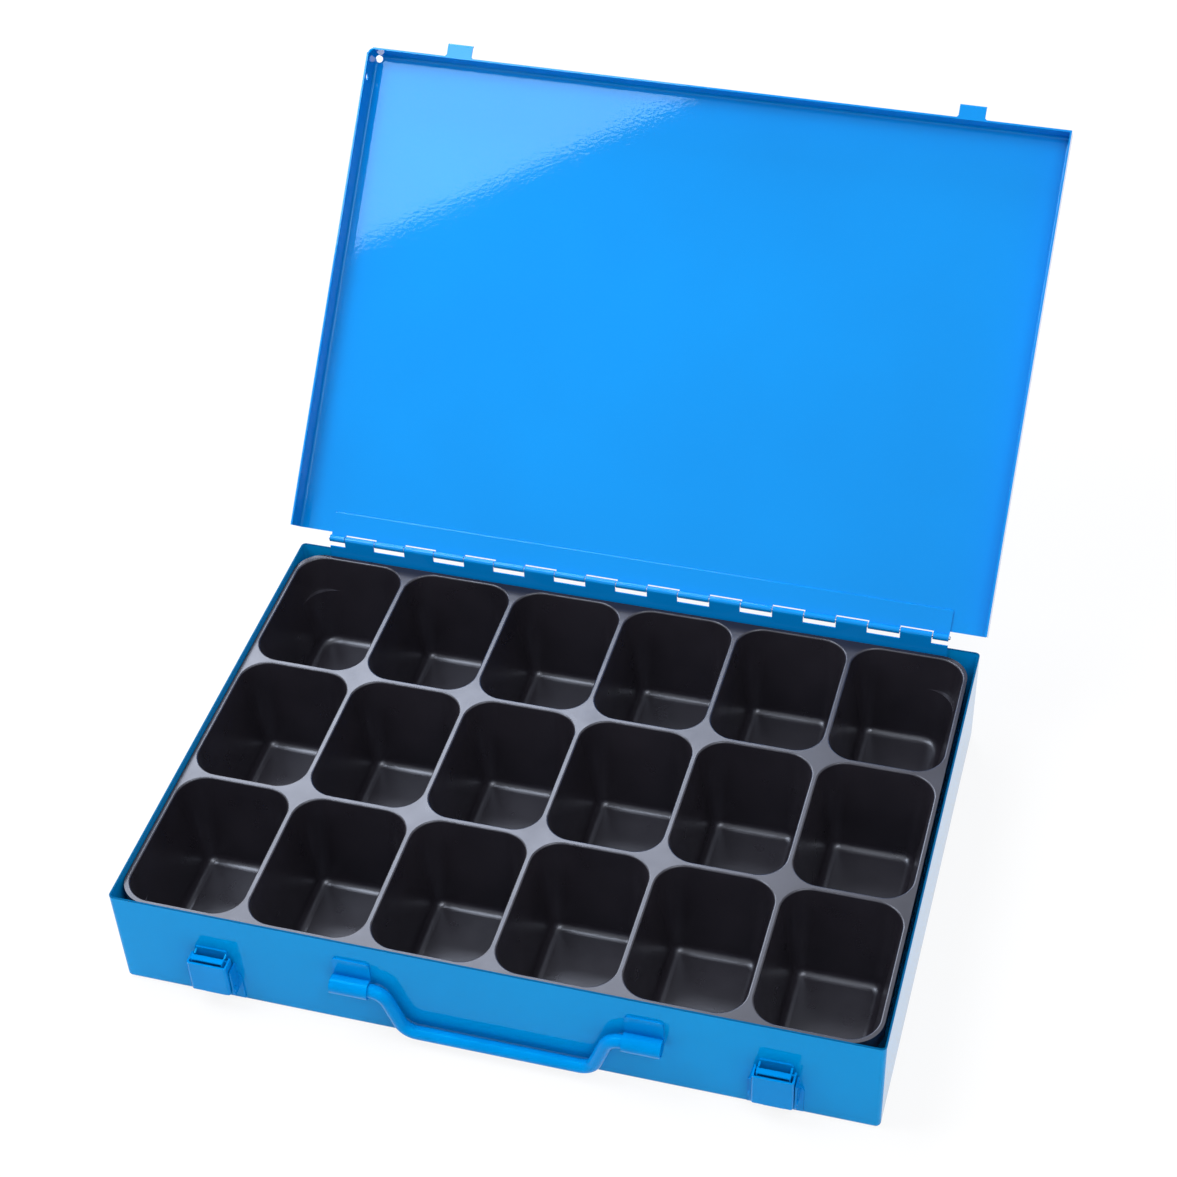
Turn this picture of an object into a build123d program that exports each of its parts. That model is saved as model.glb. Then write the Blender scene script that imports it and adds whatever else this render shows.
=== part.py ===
import os

from build123d import *

os.makedirs("parts", exist_ok=True)

# Frame: millimetres, +Z up, +Y to the hinge side, origin at the centre of the
# base's underside. The lid is stored standing open.

# Base pan, folded from one sheet
base_width = 330.0
base_depth = 232.0
base_height = 52.0
base_sheet = 0.8
base_bend = 2.2

# Compartment insert, thermoformed from one sheet
tray_side_gap = 1.45
tray_end_gap = 1.9
tray_shift = 1.1
tray_drop = 3.05
tray_wall = 1.2
tray_corner = 13.5
tray_border = 2.0
tray_skirt = 8.0
cell_columns = 6
cell_rows = 3
cell_web = 2.6
cell_draft = 6.6
cell_corner_top = 12.5
cell_corner_floor = 4.5
cell_floor_fillet = 4.2
cell_rim = 0.8
ledge_drop = 18.0
ledge_corner = 5.0
cut_margin = 1.0

# Piano hinge
knuckle_radius = 1.65
leaf_sheet = 0.7
leaf_width = 13.0
base_leaf_notch = 3.8
lid_leaf_notch = 2.2
leaf_edge_round = 0.5
knuckle_pitch = 30.0
knuckle_count = 10
knuckle_end_gap = 0.4
hinge_rise = 6.0
pin_clearance = 0.05
pin_overhang = 0.8
pin_round = 0.3

# Lid, a tray of one sheet with three flanges
lid_clearance = 1.7
lid_front_clearance = 0.65
lid_sheet = 0.8
lid_bend = 2.0
lid_flange = 12.6
lid_rear_gap = 3.0
lid_open_deg = 134.0
lid_corner_notch = 2.6
lid_relief_radius = 1.7
lid_hole_radius = 1.6
lid_hole_from_front = 13.5
lid_hole_from_edge = 3.6

# Strike tabs, bent out of the lid's front flange
strike_shift = 0.5
strike_width = 12.2
strike_flare = 0.8
strike_reach = 6.2
strike_lip = 0.6
strike_bend = 0.3
strike_root = 1.5

# Front latches: bracket, tilting carrier, sliding hook, spring and pins
latch_inset = 43.5
latch_sheet = 0.8
foot_width = 23.6
foot_low = 2.5
foot_high = 19.0
foot_corner = 3.2
tongue_high = 31.6
tongue_corner = 1.0
wing_low = 29.2
wing_drop = 1.0
wing_gap = 0.3
ear_low = 8.6
ear_high = 24.4
ear_reach = 5.8
ear_corner = 2.2
ear_gap = 0.3
carrier_width = 17.4
carrier_low = 11.4
carrier_high = 28.5
carrier_reach = 7.7
carrier_bend = 1.1
carrier_rear_gap = 0.5
carrier_side_gap = 0.8
pivot_height = 13.0
pivot_offset = 4.6
pivot_radius = 0.6
pivot_head_radius = 1.2
pivot_head = 0.5
guide_height = 27.3
guide_offset = 2.3
guide_radius = 0.5
hook_sheet = 0.6
hook_low = 5.6
hook_tongue_width = 9.0
hook_front_gap = 0.5
hook_rear_gap = 2.3
hook_plate_low = 19.7
hook_bar_low = 29.5
hook_bar_depth = 2.4
hook_high = 27.4
hook_top_back = 3.5
spring_wire = 0.25
spring_coil = 0.62
spring_offset = 4.85
spring_turns = 7
spring_tab_width = 6.0
spring_clearance = 0.1

# Carrying handle and its two clips
handle_x = 4.3
clip_x = 62.6
clip_width = 16.4
clip_sheet = 1.0
clip_high = 42.0
clip_corner = 2.0
wire_radius = 3.0
wire_height = 29.5
wire_grip_height = 7.3
wire_grip_half = 40.5
wire_shoulder_half = 48.6
wire_end_gap = 0.8
wire_bend = 7.5
wire_end_round = 0.8

front_y = -base_depth / 2
hinge_y = base_depth / 2 - base_sheet - leaf_sheet + knuckle_radius
hinge_z = base_height + hinge_rise
knuckle_length = knuckle_pitch / 2
leaf_length = knuckle_pitch * knuckle_count
latch_x = base_width / 2 - latch_inset
strike_x = latch_x + strike_shift
hinge_axis = Axis((0, hinge_y, hinge_z), (1, 0, 0))


def along_x(sketch, width):
    """Extrude a Y-Z profile equally to both sides of X = 0."""
    return extrude(Plane.YZ * sketch, amount=width / 2, both=True)


def outline(*points):
    """Closed face in the Y-Z plane through the given points."""
    return Polygon(*points, align=None)


def ahead(offset):
    """Y of a plane that stands this far in front of the base's front wall."""
    return front_y - offset


def soft_block(width, depth, height, radius):
    """Block with rounded upright and lower edges, standing on Z = 0."""
    block = Box(width, depth, height, align=(Align.CENTER, Align.CENTER, Align.MIN))
    block = fillet(block.edges().filter_by(Axis.Z), radius)
    return fillet(block.faces().sort_by(Axis.Z)[0].edges(), radius)


def make_base():
    outside = soft_block(base_width, base_depth, base_height, base_bend)
    inner_width = base_width - 2 * base_sheet
    inner_depth = base_depth - 2 * base_sheet
    inside = soft_block(inner_width, inner_depth, base_height, base_bend - base_sheet)
    return outside - Pos(0, 0, base_sheet) * inside


def pocket_section(width, depth, radius, corner, corner_radius):
    """Rounded rectangle whose one named corner has a radius of its own."""
    aim = (corner[0] * width, corner[1] * depth)
    face = Rectangle(width, depth)
    face = fillet(face.vertices().sort_by_distance(aim)[1:], radius)
    return fillet(face.vertices().sort_by_distance(aim)[0], corner_radius)


def pocket(width, depth, grow, floor, top):
    """Tapered pocket whose corner radius shrinks from the rim to the floor."""
    mouth = RectangleRounded(width, depth, cell_corner_top + grow)
    sole = RectangleRounded(width - 2 * cell_draft, depth - 2 * cell_draft, cell_corner_floor + grow)
    return loft([Pos(0, 0, floor) * sole, Pos(0, 0, top) * mouth])


def round_floor(block, grow):
    return fillet(block.faces().sort_by(Axis.Z)[0].edges(), cell_floor_fillet + grow)


def ledged_pocket(width, depth, floor, top, corner):
    """Pocket at a corner of the insert: below a ledge, its outer corner is fuller."""
    step_share = ledge_drop / (top - floor)
    inset = cell_draft * step_share
    radius = cell_corner_top - (cell_corner_top - cell_corner_floor) * step_share
    size = (width - 2 * inset, depth - 2 * inset)
    step = Pos(0, 0, top - ledge_drop)
    mouth = Pos(0, 0, top) * RectangleRounded(width, depth, cell_corner_top)
    upper = loft([step * RectangleRounded(*size, radius), mouth])
    sole_size = (width - 2 * cell_draft, depth - 2 * cell_draft)
    sole = pocket_section(*sole_size, cell_corner_floor, corner, cell_corner_floor + ledge_corner)
    shelf = pocket_section(*size, radius, corner, radius + ledge_corner)
    lower = loft([Pos(0, 0, floor) * sole, step * shelf])
    return upper + round_floor(lower, 0)


def make_tray():
    width = base_width - 2 * (base_sheet + tray_side_gap)
    depth = base_depth - 2 * (base_sheet + tray_end_gap)
    top = base_height - tray_drop
    floor = base_sheet + tray_wall
    cell_width = (width - 2 * tray_border - (cell_columns - 1) * cell_web) / cell_columns
    cell_depth = (depth - 2 * tray_border - (cell_rows - 1) * cell_web) / cell_rows

    land = extrude(RectangleRounded(width, depth, tray_corner), amount=-tray_skirt)
    under = RectangleRounded(width - 2 * tray_wall, depth - 2 * tray_wall, tray_corner - tray_wall)
    land -= Pos(0, 0, -tray_wall) * extrude(under, amount=-tray_skirt)
    land = Pos(0, 0, top) * land

    shell = pocket(cell_width + 2 * tray_wall, cell_depth + 2 * tray_wall, tray_wall, base_sheet, top)
    shell = round_floor(shell, tray_wall)
    plain = round_floor(pocket(cell_width, cell_depth, 0, floor, top), 0)
    shells = []
    hollows = []
    for column in range(cell_columns):
        for row in range(cell_rows):
            x = (column - (cell_columns - 1) / 2) * (cell_width + cell_web)
            y = (row - (cell_rows - 1) / 2) * (cell_depth + cell_web)
            hollow = plain
            if column in (0, cell_columns - 1) and row in (0, cell_rows - 1):
                corner = (1 if column else -1, 1 if row else -1)
                hollow = ledged_pocket(cell_width, cell_depth, floor, top, corner)
            shells.append(Pos(x, y, 0) * shell)
            hollows.append(Pos(x, y, 0) * hollow)
    tray = land + shells - hollows
    rims = tray.faces().sort_by(Axis.Z)[-1].inner_wires()
    tray = fillet(ShapeList([edge for wire in rims for edge in wire.edges()]), cell_rim)
    return Pos(-tray_shift, 0, 0) * tray


def knuckle_profile(tongue):
    """Rolled knuckle round the hinge axis with the tongue that carries it."""
    centre = Pos(hinge_y, hinge_z)
    roll = centre * Circle(knuckle_radius) + tongue
    return roll - centre * Circle(knuckle_radius - leaf_sheet)


def base_knuckles():
    step = knuckle_pitch
    first = -step * (knuckle_count - 1) / 2
    return [first + step * i for i in range(knuckle_count)]


def make_base_leaf():
    face_y = hinge_y - knuckle_radius
    back_y = face_y + leaf_sheet
    low = hinge_z - leaf_width
    middle = hinge_z - leaf_width / 2
    notch = hinge_z - base_leaf_notch
    profile = outline((face_y, low), (back_y, low), (back_y, notch), (face_y, notch))
    profile = fillet(profile.vertices().sort_by_distance((face_y, low))[0], leaf_edge_round)
    strip = along_x(profile, leaf_length)
    tongue = outline((face_y, middle), (back_y, middle), (back_y, hinge_z), (face_y, hinge_z))
    roll = along_x(knuckle_profile(tongue), knuckle_length - knuckle_end_gap)
    return strip + [Pos(x, 0, 0) * roll for x in base_knuckles()]


def make_lid_leaf():
    top = hinge_z + knuckle_radius
    low = top - leaf_sheet
    far = hinge_y - leaf_width
    middle = hinge_y - leaf_width / 2
    notch = hinge_y - lid_leaf_notch
    profile = outline((far, low), (notch, low), (notch, top), (far, top))
    profile = fillet(profile.vertices().sort_by_distance((far, low))[0], leaf_edge_round)
    strip = along_x(profile, leaf_length)
    tongue = outline((middle, low), (hinge_y, low), (hinge_y, top), (middle, top))
    roll = knuckle_profile(tongue)
    full = along_x(roll, knuckle_length - knuckle_end_gap)
    half_length = (knuckle_length - knuckle_end_gap) / 2
    half = along_x(roll, half_length)
    places = [x + knuckle_length for x in base_knuckles()[:-1]]
    end = (leaf_length - half_length) / 2
    leaf = strip + [Pos(x, 0, 0) * full for x in places] + [Pos(x, 0, 0) * half for x in (-end, end)]
    return leaf.rotate(hinge_axis, -lid_open_deg)


def make_hinge_pin():
    length = leaf_length + 2 * pin_overhang
    pin = Cylinder(knuckle_radius - leaf_sheet - pin_clearance, length)
    pin = chamfer(pin.edges().filter_by(GeomType.CIRCLE), pin_round)
    return Pos(0, hinge_y, hinge_z) * Rot(0, 90, 0) * pin


def flanged_sheet(width, front, rear, low, top, radius):
    """Block over the base whose front and side folds are rounded."""
    block = Pos(0, (front + rear) / 2, (low + top) / 2) * Box(width, rear - front, top - low)
    folds = block.faces().sort_by(Axis.Z)[-1].edges().sort_by(Axis.Y)[:-1]
    return fillet(folds, radius)


def make_strike(front, low):
    """One tab: a tapered tongue turned out of the flange, its tip turned up."""
    tip = front - strike_reach
    lift = low + lid_sheet
    top = lift + strike_lip
    root = lift + strike_root
    profile = outline(
        (front + lid_sheet, low),
        (tip, low),
        (tip, top),
        (tip + lid_sheet, top),
        (tip + lid_sheet, lift),
        (front, lift),
        (front, root),
        (front + lid_sheet, root),
    )
    for corner, radius in (
        ((tip, low), lid_sheet + strike_bend),
        ((tip + lid_sheet, lift), strike_bend),
        ((front, lift), strike_bend),
    ):
        profile = fillet(profile.vertices().sort_by_distance(corner)[0], radius)
    tab = along_x(profile, strike_width + 2 * strike_flare)
    half = strike_width / 2
    plan = Polygon(
        (-half - strike_flare, front + lid_sheet),
        (-half - strike_flare, front),
        (-half, front - strike_flare),
        (-half, tip),
        (half, tip),
        (half, front - strike_flare),
        (half + strike_flare, front),
        (half + strike_flare, front + lid_sheet),
        align=None,
    )
    return tab & (Pos(0, 0, low) * extrude(plan, amount=strike_root + top - low))


def make_lid():
    width = base_width + 2 * (lid_clearance + lid_sheet)
    front = ahead(lid_front_clearance + lid_sheet)
    rear = hinge_y - lid_rear_gap
    top = hinge_z + knuckle_radius + lid_sheet
    low = top - lid_flange
    outside = flanged_sheet(width, front, rear, low, top, lid_bend)
    inside = flanged_sheet(
        width - 2 * lid_sheet,
        front + lid_sheet,
        rear + cut_margin,
        low - cut_margin,
        top - lid_sheet,
        lid_bend - lid_sheet,
    )
    lid = outside - inside

    half = width / 2
    height = lid_flange + cut_margin
    corner = Pos(-half, front, top - height / 2)
    lid -= corner * Box(2 * lid_corner_notch, 2 * lid_corner_notch, 2 * height)
    fold = Pos(lid_corner_notch - half, front + lid_corner_notch, top)
    lid -= fold * Cylinder(lid_relief_radius, 2 * lid_bend)
    hole = Pos(-half, front + lid_hole_from_front, low + lid_hole_from_edge)
    lid -= hole * Rot(0, 90, 0) * Cylinder(lid_hole_radius, lid_flange)
    for side in (-1, 1):
        lid += Pos(side * strike_x, 0, 0) * make_strike(front, low)
    return lid.rotate(hinge_axis, -lid_open_deg)


hook_width = carrier_width - 2 * (latch_sheet + carrier_side_gap)
hook_front = carrier_reach - latch_sheet - hook_front_gap
hook_back = latch_sheet + hook_rear_gap
ear_inside = carrier_width / 2 + ear_gap


def upright(low, high, near, far):
    """Rectangle in the Y-Z plane between two heights and two offsets."""
    return outline((ahead(near), low), (ahead(far), low), (ahead(far), high), (ahead(near), high))


def wall_plate(width, low, high, radius):
    """Flat plate on the front wall with rounded upper corners."""
    plate = Pos(0, (low + high) / 2) * Rectangle(width, high - low)
    corners = plate.vertices().sort_by(Axis.Y)[-2:]
    plate = fillet(corners, radius)
    return Plane((0, front_y, 0), x_dir=(1, 0, 0), z_dir=(0, -1, 0)) * plate


def make_bracket():
    foot = extrude(wall_plate(foot_width, foot_low, foot_high, foot_corner), amount=latch_sheet)
    tongue = extrude(wall_plate(hook_width, foot_low, tongue_high, tongue_corner), amount=latch_sheet)
    bracket = foot + tongue
    ear = upright(ear_low, ear_high, 0, ear_reach)
    ear = fillet(ear.vertices().sort_by(Axis.Y)[:2], ear_corner)
    ear -= Pos(ahead(pivot_offset), pivot_height) * Circle(pivot_radius)
    ear = along_x(ear, latch_sheet)
    shoulder = tongue_high - tongue_corner
    wing = outline(
        (ahead(0), wing_low),
        (ahead(hook_back - wing_gap), wing_low),
        (ahead(hook_back - wing_gap), shoulder - wing_drop),
        (ahead(0), shoulder),
    )
    wing = along_x(wing, latch_sheet)
    for side in (-1, 1):
        bracket += Pos(side * (ear_inside + latch_sheet / 2), 0, 0) * ear
        bracket += Pos(side * (hook_width - latch_sheet) / 2, 0, 0) * wing
    return bracket


def make_carrier():
    half = carrier_width / 2
    near = latch_sheet + carrier_rear_gap
    plan = outline(
        (-half, ahead(near)),
        (-half, ahead(carrier_reach)),
        (half, ahead(carrier_reach)),
        (half, ahead(near)),
        (half - latch_sheet, ahead(near)),
        (half - latch_sheet, ahead(carrier_reach - latch_sheet)),
        (-half + latch_sheet, ahead(carrier_reach - latch_sheet)),
        (-half + latch_sheet, ahead(near)),
    )
    outer = plan.vertices().filter_by_position(Axis.Y, ahead(carrier_reach + cut_margin), ahead(carrier_reach))
    plan = fillet(outer, carrier_bend)
    channel = Pos(0, 0, carrier_low) * extrude(plan, amount=carrier_high - carrier_low)
    for offset, height, radius in (
        (pivot_offset, pivot_height, pivot_radius + pin_clearance),
        (guide_offset, guide_height, guide_radius),
    ):
        hole = Pos(0, ahead(offset), height) * Rot(0, 90, 0)
        channel -= hole * Cylinder(radius, 2 * carrier_width)
    return channel


def make_hook():
    """Sleeve with a lip over its front, on a tongue that slides behind the pivot pin."""
    bar_high = hook_bar_low + latch_sheet
    cheek = outline(
        (ahead(hook_back), hook_plate_low),
        (ahead(hook_front), hook_plate_low),
        (ahead(hook_front), bar_high),
        (ahead(hook_top_back), bar_high),
        (ahead(hook_top_back), hook_high),
        (ahead(hook_back), hook_high),
    )
    cheek = along_x(cheek, hook_sheet)
    side_x = (hook_width - hook_sheet) / 2
    cheeks = [Pos(side * side_x, 0, 0) * cheek for side in (-1, 1)]
    back = upright(hook_plate_low, hook_high, hook_back, hook_back + hook_sheet)
    front = upright(hook_plate_low, hook_high, hook_front - hook_sheet, hook_front)
    bar = upright(hook_bar_low, bar_high, hook_front - hook_bar_depth, hook_front)
    tongue = upright(hook_low, hook_high, hook_back, hook_back + hook_sheet)
    tab = upright(hook_plate_low, hook_plate_low + hook_sheet, hook_back, hook_front)
    hook = along_x(back, hook_width) + [along_x(front, hook_width), along_x(bar, hook_width)] + cheeks
    return hook + along_x(tongue, hook_tongue_width) + along_x(tab, spring_tab_width)


def make_spring():
    low = pivot_height + pivot_radius + spring_wire + spring_clearance
    high = hook_plate_low - spring_wire - spring_clearance
    path = Helix((high - low) / spring_turns, high - low, spring_coil)
    section = Plane(path @ 0, z_dir=path % 0) * Circle(spring_wire)
    coil = sweep(section, path=path)
    return Pos(0, ahead(spring_offset), low) * coil


def cross_pin(radius, length, offset, height):
    return Pos(0, ahead(offset), height) * Rot(0, 90, 0) * Cylinder(radius, length)


def make_pivot_pin():
    reach = ear_inside + latch_sheet
    pin = cross_pin(pivot_radius, 2 * reach, pivot_offset, pivot_height)
    head = Cylinder(pivot_head_radius, pivot_head)
    for side in (-1, 1):
        place = Pos(side * (reach + pivot_head / 2), ahead(pivot_offset), pivot_height)
        pin += place * Rot(0, 90, 0) * head
    rims = pin.edges().filter_by(GeomType.CIRCLE).sort_by(Axis.X)
    return chamfer(ShapeList([rims[0], rims[-1]]), pivot_head / 2)


def make_guide_pin():
    return cross_pin(guide_radius, carrier_width, guide_offset, guide_height)


wire_offset = clip_sheet + pin_clearance + wire_radius


def make_clip():
    centre = Pos(ahead(wire_offset), wire_height)
    bore = wire_radius + pin_clearance
    strap = upright(wire_height, clip_high, 0, clip_sheet)
    profile = centre * Circle(bore + clip_sheet) + strap - centre * Circle(bore)
    clip = along_x(profile, clip_width)
    top = clip.faces().sort_by(Axis.Z)[-1]
    corners = [e for e in clip.edges().filter_by(Axis.Y) if e.center().Z > top.center().Z - clip_sheet]
    return fillet(corners, clip_corner)


def make_handle():
    end = clip_x + clip_width / 2 - wire_end_gap
    path = FilletPolyline(
        (-end, ahead(wire_offset), wire_height),
        (-wire_shoulder_half, ahead(wire_offset), wire_height),
        (-wire_grip_half, ahead(wire_offset), wire_grip_height),
        (wire_grip_half, ahead(wire_offset), wire_grip_height),
        (wire_shoulder_half, ahead(wire_offset), wire_height),
        (end, ahead(wire_offset), wire_height),
        radius=wire_bend,
    )
    section = Plane(path @ 0, z_dir=path % 0) * Circle(wire_radius)
    wire = sweep(section, path=path)
    ends = wire.faces().sort_by(Axis.X)
    rims = ShapeList(list(ends[0].edges()) + list(ends[-1].edges()))
    return Pos(handle_x, 0, 0) * chamfer(rims, wire_end_round)


pieces = {
    "base_shell": make_base(),
    "insert_tray": make_tray(),
    "hinge_leaf_base": make_base_leaf(),
    "hinge_leaf_lid": make_lid_leaf(),
    "hinge_pin": make_hinge_pin(),
    "lid_shell": make_lid(),
    "handle_wire": make_handle(),
}
clip = make_clip()
latch = {
    "latch_bracket": make_bracket(),
    "latch_carrier": make_carrier(),
    "latch_hook": make_hook(),
    "latch_spring": make_spring(),
    "latch_pivot_pin": make_pivot_pin(),
    "latch_guide_pin": make_guide_pin(),
}
for name, side in (("left", -1), ("right", 1)):
    pieces["handle_clip_" + name] = Pos(handle_x + side * clip_x, 0, 0) * clip
    for piece, solid in latch.items():
        pieces[piece + "_" + name] = Pos(side * latch_x, 0, 0) * solid

for node, solid in pieces.items():
    export_step(solid, os.path.join("parts", node + ".step"))
    print(node, round(solid.volume))
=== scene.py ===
import math

import bpy
from mathutils import Matrix, Vector


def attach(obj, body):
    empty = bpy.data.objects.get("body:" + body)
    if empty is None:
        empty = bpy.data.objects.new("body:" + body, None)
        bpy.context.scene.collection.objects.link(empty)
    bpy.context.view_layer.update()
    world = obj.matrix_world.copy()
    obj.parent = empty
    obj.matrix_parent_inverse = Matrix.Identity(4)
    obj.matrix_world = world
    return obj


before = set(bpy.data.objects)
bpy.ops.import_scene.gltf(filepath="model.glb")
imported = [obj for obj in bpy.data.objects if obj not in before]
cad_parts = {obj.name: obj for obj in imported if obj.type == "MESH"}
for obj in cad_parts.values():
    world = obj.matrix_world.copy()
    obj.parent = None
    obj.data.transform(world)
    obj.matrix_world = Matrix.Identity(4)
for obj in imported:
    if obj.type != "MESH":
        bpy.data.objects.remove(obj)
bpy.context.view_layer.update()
bpy.ops.object.select_all(action="DESELECT")
print("frame loaded:", len(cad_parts), "nodes")


# small helpers for node trees

noiseSpan = (0.3, 0.7)      # where most of a noise's values lie
plainDetail, fineDetail, smoothDetail = 2.0, 3.0, 1.0


def newMaterial(name):
    material = bpy.data.materials.new(name)
    material.use_nodes = True
    tree = material.node_tree
    return material, tree, tree.nodes["Principled BSDF"]


def addNode(tree, kind, inputs=None, **settings):
    node = tree.nodes.new("ShaderNode" + kind)
    for key, value in settings.items():
        setattr(node, key, value)
    for key, value in (inputs or {}).items():
        node.inputs[key].default_value = value
    return node


def noiseField(tree, size, detail=plainDetail):
    # noise with features of about this size in metres
    where = addNode(tree, "TexCoord")
    noise = addNode(tree, "TexNoise", {"Scale": 1.0 / size, "Detail": detail})
    tree.links.new(where.outputs["Object"], noise.inputs["Vector"])
    return noise.outputs["Fac"]


def between(tree, field, low, high):
    spread = addNode(tree, "MapRange", {"From Min": noiseSpan[0], "From Max": noiseSpan[1],
                                        "To Min": low, "To Max": high})
    tree.links.new(field, spread.inputs["Value"])
    return spread.outputs["Result"]


def colourSpread(tree, field, dark, light):
    ramp = addNode(tree, "ValToRGB")
    for stop, position, colour in zip(ramp.color_ramp.elements, noiseSpan, (dark, light)):
        stop.position = position
        stop.color = colour
    tree.links.new(field, ramp.inputs["Fac"])
    return ramp.outputs["Color"]


def relief(tree, field, depth, strength, before=None):
    bump = addNode(tree, "Bump", {"Strength": strength, "Distance": depth})
    tree.links.new(field, bump.inputs["Height"])
    if before:
        tree.links.new(before, bump.inputs["Normal"])
    return bump.outputs["Normal"]


# blue powder coat: glossy on the sheet, a little duller on the fittings

sheetPaintLook = {
    "dark": (0.0, 0.226, 0.65, 1.0),
    "light": (0.0, 0.242, 0.69, 1.0),
    "cloudSize": 0.09,
    "roughness": (0.03, 0.045),
    "smearSize": 0.03,
    "peelSize": 0.0015,     # orange peel of the coat
    "peelDepth": 0.000025,
    "peelStrength": 0.5,
    "specular": 0.3,
    "tint": (0.55, 0.82, 1.0, 1.0),
}

basePaintLook = dict(
    sheetPaintLook,
    dark=(0.0, 0.252, 0.61, 1.0),
    light=(0.0, 0.272, 0.65, 1.0),
    specular=0.16,
    tint=(0.0, 0.9, 1.0, 1.0),
)

fittingPaintLook = dict(
    basePaintLook,
    dark=(0.0, 0.215, 0.59, 1.0),
    light=(0.0, 0.250, 0.66, 1.0),
    cloudSize=0.02,
    roughness=(0.14, 0.2),
    peelSize=0.0009,
    peelDepth=0.00002,
)


def makePaint(name, look):
    material, tree, shader = newMaterial(name)
    clouds = noiseField(tree, look["cloudSize"])
    colour = colourSpread(tree, clouds, look["dark"], look["light"])
    tree.links.new(colour, shader.inputs["Base Color"])
    smears = noiseField(tree, look["smearSize"], fineDetail)
    tree.links.new(between(tree, smears, *look["roughness"]), shader.inputs["Roughness"])
    peel = noiseField(tree, look["peelSize"], smoothDetail)
    skin = relief(tree, peel, look["peelDepth"], look["peelStrength"])
    tree.links.new(skin, shader.inputs["Normal"])
    shader.inputs["Specular IOR Level"].default_value = look["specular"]
    shader.inputs["Specular Tint"].default_value = look["tint"]
    return material


# painted shade: colour and roughness of the dark band painted on the base's top edge
rimShadeLook = {
    "heights": (0.0517, 0.0519),
    "colour": (0.0, 0.075, 0.20, 1.0),
    "roughness": 0.8,
}


def paintRimShade(material, look):
    # painted shade: the sheet's cut upper edge is coloured dark blue and made rough, so it reads as the
    # dark shade line between the wall and the insert instead of catching the lamps
    tree = material.node_tree
    shader = tree.nodes["Principled BSDF"]
    where = addNode(tree, "TexCoord")
    parts = addNode(tree, "SeparateXYZ")
    tree.links.new(where.outputs["Object"], parts.inputs["Vector"])
    low, high = look["heights"]
    edge = addNode(tree, "MapRange", {"From Min": low, "From Max": high})
    tree.links.new(parts.outputs["Z"], edge.inputs["Value"])
    rimShadeMix = addNode(tree, "MixRGB", {"Color2": look["colour"]})
    tree.links.new(edge.outputs["Result"], rimShadeMix.inputs["Fac"])
    tree.links.new(shader.inputs["Base Color"].links[0].from_socket, rimShadeMix.inputs["Color1"])
    tree.links.new(rimShadeMix.outputs["Color"], shader.inputs["Base Color"])
    dull = addNode(tree, "Math", {1: look["roughness"]}, operation="MULTIPLY")
    tree.links.new(edge.outputs["Result"], dull.inputs[0])
    rough = addNode(tree, "Math", operation="MAXIMUM")
    tree.links.new(dull.outputs[0], rough.inputs[0])
    tree.links.new(shader.inputs["Roughness"].links[0].from_socket, rough.inputs[1])
    tree.links.new(rough.outputs[0], shader.inputs["Roughness"])


lidPaint = makePaint("blueLidPaint", sheetPaintLook)
basePaint = makePaint("blueBasePaint", basePaintLook)
# paints shade as a dark band on the base's top edge
paintRimShade(basePaint, rimShadeLook)
fittingPaint = makePaint("blueFittingPaint", fittingPaintLook)
cornerPaint = makePaint("blueCornerPaint", dict(fittingPaintLook, specular=0.0))     # dull in the corner


# black sheet plastic of the insert

plasticLook = {
    "dark": (0.0118, 0.0104, 0.0145, 1.0),
    "light": (0.0182, 0.0160, 0.0218, 1.0),
    "cloudSize": 0.03,
    "roughness": (0.27, 0.34),
    "smearSize": 0.012,
    "waveSize": 0.022,      # slow waves of the formed sheet
    "waveDepth": 0.0002,
    "waveStrength": 0.25,
    "grainSize": 0.00045,
    "grainDepth": 0.00001,
    "grainStrength": 0.35,
    "specular": 0.7,
    "tint": (0.80, 0.86, 1.0, 1.0),
}


def makePlastic(name, look):
    material, tree, shader = newMaterial(name)
    clouds = noiseField(tree, look["cloudSize"])
    colour = colourSpread(tree, clouds, look["dark"], look["light"])
    tree.links.new(colour, shader.inputs["Base Color"])
    smears = noiseField(tree, look["smearSize"], fineDetail)
    tree.links.new(between(tree, smears, *look["roughness"]), shader.inputs["Roughness"])
    waves = noiseField(tree, look["waveSize"], smoothDetail)
    form = relief(tree, waves, look["waveDepth"], look["waveStrength"])
    grain = noiseField(tree, look["grainSize"])
    skin = relief(tree, grain, look["grainDepth"], look["grainStrength"], form)
    tree.links.new(skin, shader.inputs["Normal"])
    shader.inputs["Specular IOR Level"].default_value = look["specular"]
    shader.inputs["Specular Tint"].default_value = look["tint"]
    return material


insertPlastic = makePlastic("blackInsertPlastic", plasticLook)


# bright drawn wire of the pins and springs

wireLook = {
    "dark": (0.50, 0.51, 0.53, 1.0),
    "light": (0.64, 0.65, 0.66, 1.0),
    "cloudSize": 0.004,
    "roughness": (0.24, 0.36),
    "scratchSize": 0.0005,
    "scratchDepth": 0.00001,
    "scratchStrength": 0.2,
}


def makeWire(name, look):
    material, tree, shader = newMaterial(name)
    clouds = noiseField(tree, look["cloudSize"])
    colour = colourSpread(tree, clouds, look["dark"], look["light"])
    tree.links.new(colour, shader.inputs["Base Color"])
    tree.links.new(between(tree, clouds, *look["roughness"]), shader.inputs["Roughness"])
    scratches = noiseField(tree, look["scratchSize"], fineDetail)
    skin = relief(tree, scratches, look["scratchDepth"], look["scratchStrength"])
    tree.links.new(skin, shader.inputs["Normal"])
    shader.inputs["Metallic"].default_value = 1.0
    return material


brightWire = makeWire("brightSteelWire", wireLook)


# finish of every CAD node

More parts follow.
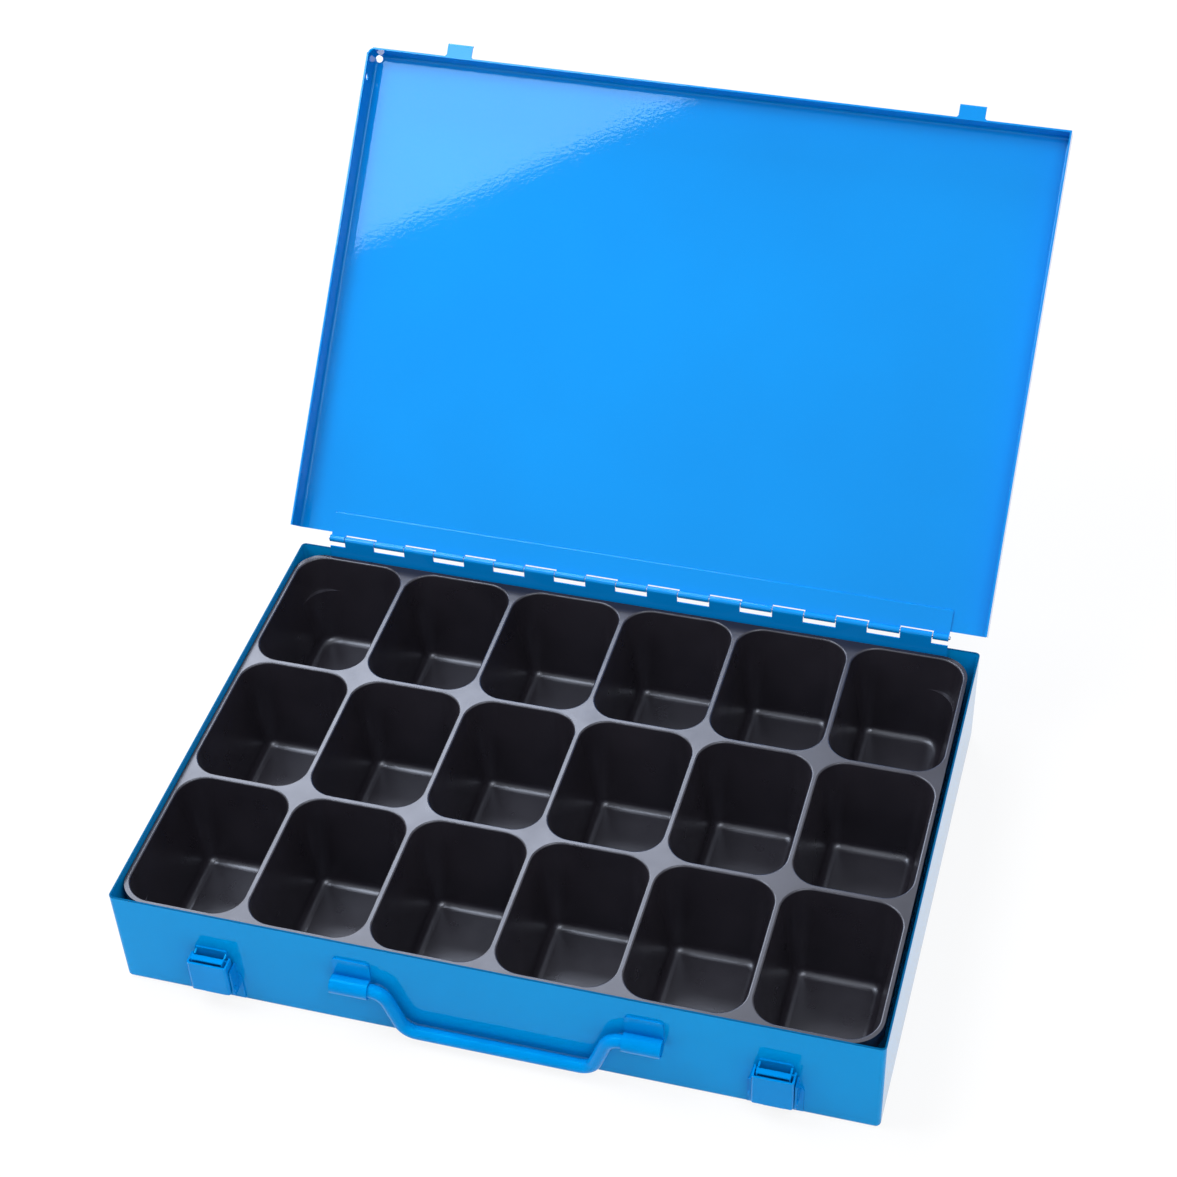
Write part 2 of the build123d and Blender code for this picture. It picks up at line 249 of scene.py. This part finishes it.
finishes = {
    "lid_shell": lidPaint,
    "hinge_leaf_lid": lidPaint,
    "hinge_leaf_base": lidPaint,
    "base_shell": basePaint,
    "insert_tray": insertPlastic,
    "hinge_pin": brightWire,
    "latch_spring_left": brightWire,
    "latch_spring_right": brightWire,
}

for nodeName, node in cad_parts.items():
    finish = finishes.get(nodeName, fittingPaint)
    node.data.materials.clear()
    node.data.materials.append(finish)
print("finishes set")


# rolled corner that joins the lid's two flanges below the relief hole

lidCorner = {
    "centre": (-0.1649, -0.11485),      # where the fold lines cross on the shut lid
    "heights": (0.0494, 0.0592),
    "radius": 0.0026,
    "sheet": 0.0008,
    "steps": 48,
    "hinge": (0.0, 0.11615, 0.058),
    "openAngle": 134.0,
    "smoothAngle": 40.0,
}

low, high = lidCorner["heights"]
bpy.ops.mesh.primitive_cylinder_add(
    vertices=lidCorner["steps"], radius=lidCorner["radius"], depth=high - low,
    end_fill_type="NOTHING", location=(*lidCorner["centre"], (low + high) / 2))
corner = bpy.context.object
corner.name = "lidFlangeCorner"
bpy.ops.object.mode_set(mode="EDIT")
bpy.ops.mesh.select_mode(type="FACE")
bpy.ops.mesh.select_all(action="DESELECT")
bpy.ops.object.mode_set(mode="OBJECT")
for face in corner.data.polygons:
    face.select = face.center.x > 0 or face.center.y > 0     # all but the outer quarter
bpy.ops.object.mode_set(mode="EDIT")
bpy.ops.mesh.delete(type="FACE")
bpy.ops.object.mode_set(mode="OBJECT")
wall = corner.modifiers.new("wall", "SOLIDIFY")
wall.thickness = lidCorner["sheet"]
wall.offset = -1.0
bpy.ops.object.modifier_apply(modifier=wall.name)
hinge = Matrix.Translation(lidCorner["hinge"])
swing = hinge @ Matrix.Rotation(math.radians(-lidCorner["openAngle"]), 4, "X") @ hinge.inverted()
corner.matrix_world = swing @ corner.matrix_world
bpy.ops.object.transform_apply(location=True, rotation=True, scale=True)
bpy.ops.object.shade_smooth_by_angle(angle=math.radians(lidCorner["smoothAngle"]))
corner.data.materials.append(cornerPaint)
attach(corner, "lid")
print("lid corner made")


# white floor and surroundings

studio = {
    "floorSize": 9.0,
    "floorDrop": 0.0001,
    "floorColour": (0.85, 0.85, 0.85, 1.0),
    "floorWhite": 0.88,      # share of plain white that the camera sees
    "whiteFrom": (0.5, 1.6),     # distances between which it rises to all white
    "fill": 0.38,
    "white": (1.0, 1.0, 1.0, 1.0),
}


def seenDirectly(tree):
    # 1 for camera, mirror and see-through rays, 0 for the light that falls on the object
    path = addNode(tree, "LightPath")
    seen = path.outputs["Is Camera Ray"]
    for name in ("Is Glossy Ray", "Is Transmission Ray"):
        either = addNode(tree, "Math", operation="MAXIMUM")
        tree.links.new(seen, either.inputs[0])
        tree.links.new(path.outputs[name], either.inputs[1])
        seen = either.outputs[0]
    return seen


bpy.ops.mesh.primitive_plane_add(size=studio["floorSize"], location=(0, 0, -studio["floorDrop"]))
floor = bpy.context.object
floor.name = "studioFloor"
floorMaterial = bpy.data.materials.new("whiteFloor")
floorMaterial.use_nodes = True
floorTree = floorMaterial.node_tree
floorTree.nodes.clear()
floorOut = addNode(floorTree, "OutputMaterial")
floorMatt = addNode(floorTree, "BsdfDiffuse", {"Color": studio["floorColour"]})
floorGlow = addNode(floorTree, "Emission", {"Color": studio["white"]})
floorMix = addNode(floorTree, "MixShader")
floorWhere = addNode(floorTree, "TexCoord")
floorReach = addNode(floorTree, "VectorMath", operation="LENGTH")
floorTree.links.new(floorWhere.outputs["Object"], floorReach.inputs[0])
near, far = studio["whiteFrom"]
floorFade = addNode(floorTree, "MapRange", {"From Min": near, "From Max": far,
                                            "To Min": studio["floorWhite"], "To Max": 1.0})
floorTree.links.new(floorReach.outputs["Value"], floorFade.inputs["Value"])
floorShare = addNode(floorTree, "Math", operation="MULTIPLY")
floorTree.links.new(seenDirectly(floorTree), floorShare.inputs[0])
floorTree.links.new(floorFade.outputs["Result"], floorShare.inputs[1])
floorTree.links.new(floorShare.outputs[0], floorMix.inputs[0])
floorTree.links.new(floorMatt.outputs[0], floorMix.inputs[1])
floorTree.links.new(floorGlow.outputs[0], floorMix.inputs[2])
floorTree.links.new(floorMix.outputs[0], floorOut.inputs["Surface"])
floor.data.materials.append(floorMaterial)

world = bpy.data.worlds.new("whiteStudio")
bpy.context.scene.world = world
world.use_nodes = True
worldTree = world.node_tree
worldGlow = worldTree.nodes["Background"]
worldGlow.inputs["Color"].default_value = studio["white"]
worldLevel = addNode(worldTree, "MapRange", {"To Min": studio["fill"], "To Max": 1.0})
worldTree.links.new(seenDirectly(worldTree), worldLevel.inputs["Value"])
worldTree.links.new(worldLevel.outputs["Result"], worldGlow.inputs["Strength"])


# soft boxes overhead: the front one's edge slants across the lid, the rear one shows in the
# insert's rim, the right one lights the front wall and the pockets

softBoxes = {
    "frontBox": {
        "centre": (-0.5786, -0.170, 1.0),
        "along": (0.85, 0.53, 0.0),
        "across": (-0.53, 0.85, 0.0),
        "size": (0.87, 0.5),
        "power": 11.8,
        "colour": (0.93, 0.96, 1.0),
    },
    "rearBox": {
        "centre": (-0.66, 1.0, 1.0),
        "along": (1.0, 0.0, 0.0),
        "across": (0.0, 1.0, 0.0),
        "size": (1.1, 0.9),
        "power": 26.0,
        "colour": (0.90, 0.93, 1.0),
    },
    "rightBox": {
        "centre": (0.47, -0.50, 1.0),
        "along": (1.0, 0.0, 0.0),
        "across": (0.0, 1.0, 0.0),
        "size": (0.56, 0.56),
        "power": 6.8,
        "colour": (1.0, 1.0, 1.0),
    },
}


def aim(right, up):
    # rotation whose X is right and whose Y is up
    x = Vector(right).normalized()
    y = Vector(up).normalized()
    return Matrix((x, y, x.cross(y))).transposed().to_4x4()


for name, box in softBoxes.items():
    bpy.ops.object.light_add(type="AREA", location=box["centre"])
    lamp = bpy.context.object
    lamp.name = name
    lamp.data.shape = "RECTANGLE"
    lamp.data.size, lamp.data.size_y = box["size"]
    lamp.data.energy = box["power"]
    lamp.data.color = box["colour"]
    lamp.matrix_world = Matrix.Translation(box["centre"]) @ aim(box["along"], box["across"])


# camera at the photograph's place

view = {
    "place": (0.23336, -0.69135, 0.81456),
    "right": (0.96631, 0.25653, -0.0208),
    "up": (-0.16432, 0.67714, 0.71728),
    "lens": 73.69,
    "sensor": 36.0,
    "shift": (-0.0414, 0.0753),
    "nearest": 0.01,
}

bpy.ops.object.camera_add(location=view["place"])
camera = bpy.context.object
camera.matrix_world = Matrix.Translation(view["place"]) @ aim(view["right"], view["up"])
camera.data.lens = view["lens"]
camera.data.sensor_width = view["sensor"]
camera.data.shift_x, camera.data.shift_y = view["shift"]
camera.data.clip_start = view["nearest"]
bpy.context.scene.camera = camera
bpy.context.scene.view_settings.view_transform = "Standard"
print("studio and camera set")
